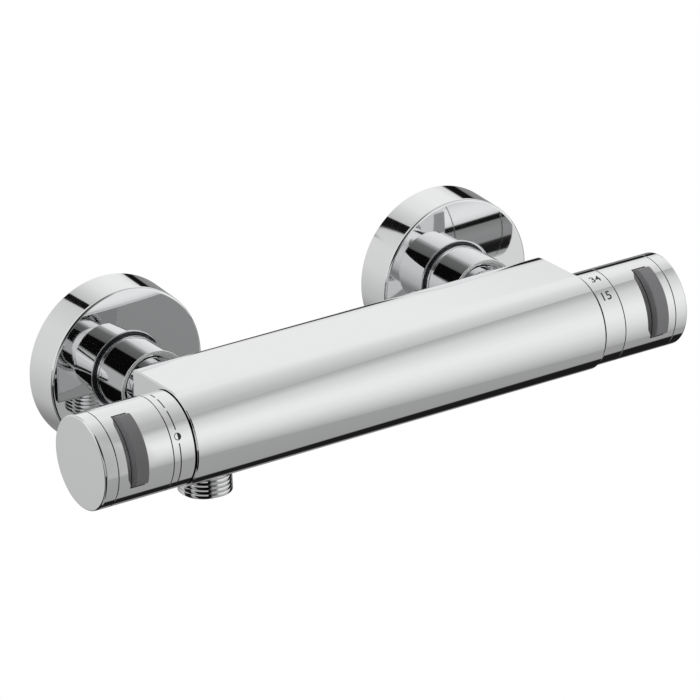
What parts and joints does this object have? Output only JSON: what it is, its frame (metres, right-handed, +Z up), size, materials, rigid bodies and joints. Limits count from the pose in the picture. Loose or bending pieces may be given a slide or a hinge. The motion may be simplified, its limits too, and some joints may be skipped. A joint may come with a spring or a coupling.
{
  "type": "thermostatic shower valve",
  "caption": "Wall-mounted bar shower mixer: D-section chrome bar, flow and temperature handles with raised grips, wall unions with round roses and a threaded lower outlet.",
  "frame": {"origin": "midway between the two wall threads, on the wall's face", "axes": "+X along the bar to the temperature handle, +Y into the wall, +Z up"},
  "size_m": [0.262, 0.1113, 0.068],
  "materials": {
    "chrome": "mirror polished chrome plate on brass",
    "grip_plastic": "fine matt grey plastic",
    "brass": "machined",
    "steel": "stainless",
    "rubber": "black sealing rubber",
    "white_plastic": "moulded",
    "black_plastic": "moulded",
    "ceramic": "lapped"
  },
  "bodies": {
    "valve": {"bar_body": "chrome", "outlet_nipple": "chrome", "outlet_seal": "rubber", "left_wall_union": "chrome", "left_rose": "chrome", "left_rose_ring": "rubber", "left_union_nut": "chrome", "left_inlet_washer": "rubber", "left_spigot": "chrome", "left_check_housing": "white_plastic", "left_check_spring": "steel", "right_wall_union": "chrome", "right_rose": "chrome", "right_rose_ring": "rubber", "right_union_nut": "chrome", "right_inlet_washer": "rubber", "right_spigot": "chrome", "right_check_housing": "white_plastic", "right_check_spring": "steel", "flow_gasket": "rubber", "flow_fixed_disc": "ceramic", "flow_housing": "brass", "flow_seals": "rubber", "flow_gland_nut": "brass", "flow_stop_ring": "black_plastic", "heat_housing": "brass", "heat_seals": "rubber", "heat_hot_seat": "white_plastic", "heat_return_spring": "steel", "heat_gland_nut": "brass", "heat_stop_ring": "black_plastic"},
    "flow_control": {"flow_moving_disc": "ceramic", "flow_spindle": "brass", "flow_clip": "steel", "flow_dial_ring": "chrome", "flow_handle": "chrome", "flow_grip": "grip_plastic", "flow_end_cap": "chrome", "flow_insert": "black_plastic", "flow_screw": "steel"},
    "temperature_control": {"heat_spindle": "brass", "heat_clip": "steel", "temp_dial_ring": "chrome", "temp_handle": "chrome", "temp_grip": "grip_plastic", "temp_end_cap": "chrome", "temp_insert": "black_plastic", "temp_screw": "steel"},
    "regulator": {"heat_shuttle": "brass", "heat_element": "brass", "heat_screw": "brass", "heat_overload_cup": "steel", "heat_overload_spring": "steel"},
    "left_poppet": {"left_check_poppet": "white_plastic"},
    "right_poppet": {"right_check_poppet": "white_plastic"}
  },
  "joints": [
    {"name": "flow_turn", "type": "hinge", "parent": "valve", "child": "flow_control", "pos_m": [-0.092, -0.0755, -0.0087], "axis": [1, 0, 0], "range_deg": [-90, 90]},
    {"name": "temperature_turn", "type": "hinge", "parent": "valve", "child": "temperature_control", "pos_m": [0.092, -0.0755, -0.0087], "axis": [1, 0, 0], "range_deg": [-130, 130]},
    {"name": "regulator_slide", "type": "slide", "parent": "valve", "child": "regulator", "axis": [1, 0, 0], "range_m": [-0.00108, 0.00108], "deforming": ["heat_return_spring"]},
    {"name": "left_check_lift", "type": "slide", "parent": "valve", "child": "left_poppet", "axis": [0, -1, 0], "range_m": [0, 0.003], "stiffness_N_per_m": 60, "springref_m": -0.002, "deforming": ["left_check_spring"]},
    {"name": "right_check_lift", "type": "slide", "parent": "valve", "child": "right_poppet", "axis": [0, -1, 0], "range_m": [0, 0.003], "stiffness_N_per_m": 60, "springref_m": -0.002, "deforming": ["right_check_spring"]}
  ],
  "couplings": [
    {"joint": "regulator_slide", "follows": "temperature_turn", "m_per_rad": 0.00047746}
  ]
}
